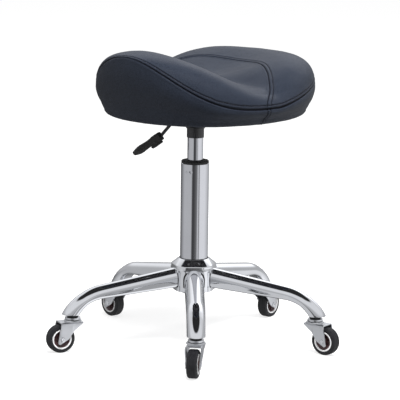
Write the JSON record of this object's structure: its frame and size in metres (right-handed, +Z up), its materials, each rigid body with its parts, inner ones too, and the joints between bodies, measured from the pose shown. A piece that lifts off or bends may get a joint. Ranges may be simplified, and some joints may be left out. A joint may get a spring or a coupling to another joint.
{
  "type": "rolling saddle stool",
  "caption": "Low rolling stool with a padded saddle seat that swivels and rises on a gas lift with a hand lever, on a star base with swivel casters.",
  "frame": {"origin": "on the floor, under the centre of the gas-lift column", "axes": "+Z up along the column; the seat's front, with its raised pommel, faces -Y; +X is to the sitter's left"},
  "size_m": [0.5173, 0.5195, 0.5344],
  "materials": {
    "chrome": "polished chrome plate on steel",
    "zinc": "bright zinc plate on pressed steel",
    "steel": "plain bright steel",
    "black_paint": "black powder coat",
    "black_plastic": "black moulded plastic",
    "bump_rubber": "black rubber",
    "tyre": "dark grey rubber, smooth tread",
    "core": "dark brown moulded plastic",
    "rim": "pale grey moulded ring",
    "board": "plywood",
    "dust_cloth": "black nonwoven cloth",
    "foam": "moulded foam",
    "cover": "black coated leathercloth with fine grain"
  },
  "bodies": {
    "base": {"hub": "chrome", "leg_1": "chrome", "leg_2": "chrome", "leg_3": "chrome", "leg_4": "chrome", "leg_5": "chrome", "stem_sockets": "steel", "caster_stems": "zinc", "swivel_balls": "steel", "column_tube": "chrome", "guide_bush": "black_plastic", "bearing_race_lower": "steel", "bearing_balls": "steel"},
    "lift_rod": {"piston_rod": "steel", "piston": "steel", "bearing_race_upper": "steel", "bump_stop": "bump_rubber", "rod_clip": "steel"},
    "seat": {"lift_cylinder": "chrome", "rod_gland": "steel", "cone_socket": "black_paint", "seat_plate": "black_paint", "lever_bracket": "black_paint", "lever_pin": "steel", "seat_bolts": "steel", "bolt_washers": "steel", "tee_nuts": "steel", "seat_board": "board", "seat_foam": "foam", "seat_cover": "cover", "dust_cover": "dust_cloth"},
    "lever": {"lever_rod": "black_paint", "lever_grip": "black_plastic"},
    "button": {"release_button": "black_plastic"},
    "caster_1": {"fork_1": "zinc", "axle_1": "zinc"},
    "wheel_1": {"wheel_core_1": "core", "wheel_rim_1": "rim", "tyre_1": "tyre"},
    "caster_2": {"fork_2": "zinc", "axle_2": "zinc"},
    "wheel_2": {"wheel_core_2": "core", "wheel_rim_2": "rim", "tyre_2": "tyre"},
    "caster_3": {"fork_3": "zinc", "axle_3": "zinc"},
    "wheel_3": {"wheel_core_3": "core", "wheel_rim_3": "rim", "tyre_3": "tyre"},
    "caster_4": {"fork_4": "zinc", "axle_4": "zinc"},
    "wheel_4": {"wheel_core_4": "core", "wheel_rim_4": "rim", "tyre_4": "tyre"},
    "caster_5": {"fork_5": "zinc", "axle_5": "zinc"},
    "wheel_5": {"wheel_core_5": "core", "wheel_rim_5": "rim", "tyre_5": "tyre"}
  },
  "joints": [
    {"name": "seat_swivel", "type": "hinge", "parent": "base", "child": "lift_rod", "pos_m": [0, 0, 0.1], "axis": [0, 0, 1], "continuous": true},
    {"name": "seat_lift", "type": "slide", "parent": "lift_rod", "child": "seat", "axis": [0, 0, 1], "range_m": [0, 0.12]},
    {"name": "lever_rock", "type": "hinge", "parent": "seat", "child": "lever", "pos_m": [-0.02356, -0.01099, 0.4074], "axis": [-0.4226, 0.9063, 0], "range_deg": [0, 8], "stiffness_Nm_per_rad": 2},
    {"name": "button_press", "type": "slide", "parent": "seat", "child": "button", "axis": [0, 0, -1], "range_m": [0, 0.0037]},
    {"name": "caster_swivel_1", "type": "hinge", "parent": "base", "child": "caster_1", "pos_m": [0.16321, -0.15488, 0.055], "axis": [0, 0, 1], "continuous": true},
    {"name": "wheel_roll_1", "type": "hinge", "parent": "caster_1", "child": "wheel_1", "pos_m": [0.17673, -0.17349, 0.025], "axis": [0.809, 0.5878, 0], "continuous": true},
    {"name": "caster_swivel_2", "type": "hinge", "parent": "base", "child": "caster_2", "pos_m": [0.19773, 0.10736, 0.055], "axis": [0, 0, 1], "continuous": true},
    {"name": "wheel_roll_2", "type": "hinge", "parent": "caster_2", "child": "wheel_2", "pos_m": [0.22045, 0.11096, 0.025], "axis": [-0.1564, 0.9877, 0], "continuous": true},
    {"name": "caster_swivel_3", "type": "hinge", "parent": "base", "child": "caster_3", "pos_m": [-0.041, 0.22123, 0.055], "axis": [0, 0, 1], "continuous": true},
    {"name": "wheel_roll_3", "type": "hinge", "parent": "caster_3", "child": "wheel_3", "pos_m": [-0.0446, 0.24395, 0.025], "axis": [-0.9877, -0.1564, 0], "continuous": true},
    {"name": "caster_swivel_4", "type": "hinge", "parent": "base", "child": "caster_4", "pos_m": [-0.22307, 0.02937, 0.055], "axis": [0, 0, 1], "continuous": true},
    {"name": "wheel_roll_4", "type": "hinge", "parent": "caster_4", "child": "wheel_4", "pos_m": [-0.24602, 0.03097, 0.025], "axis": [-0.0698, -0.9976, 0], "continuous": true},
    {"name": "caster_swivel_5", "type": "hinge", "parent": "base", "child": "caster_5", "pos_m": [-0.09687, -0.20308, 0.055], "axis": [0, 0, 1], "continuous": true},
    {"name": "wheel_roll_5", "type": "hinge", "parent": "caster_5", "child": "wheel_5", "pos_m": [-0.10511, -0.22455, 0.025], "axis": [0.9336, -0.3584, 0], "continuous": true}
  ],
  "couplings": [
    {"joint": "button_press", "follows": "lever_rock", "m_per_rad": 0.026}
  ]
}
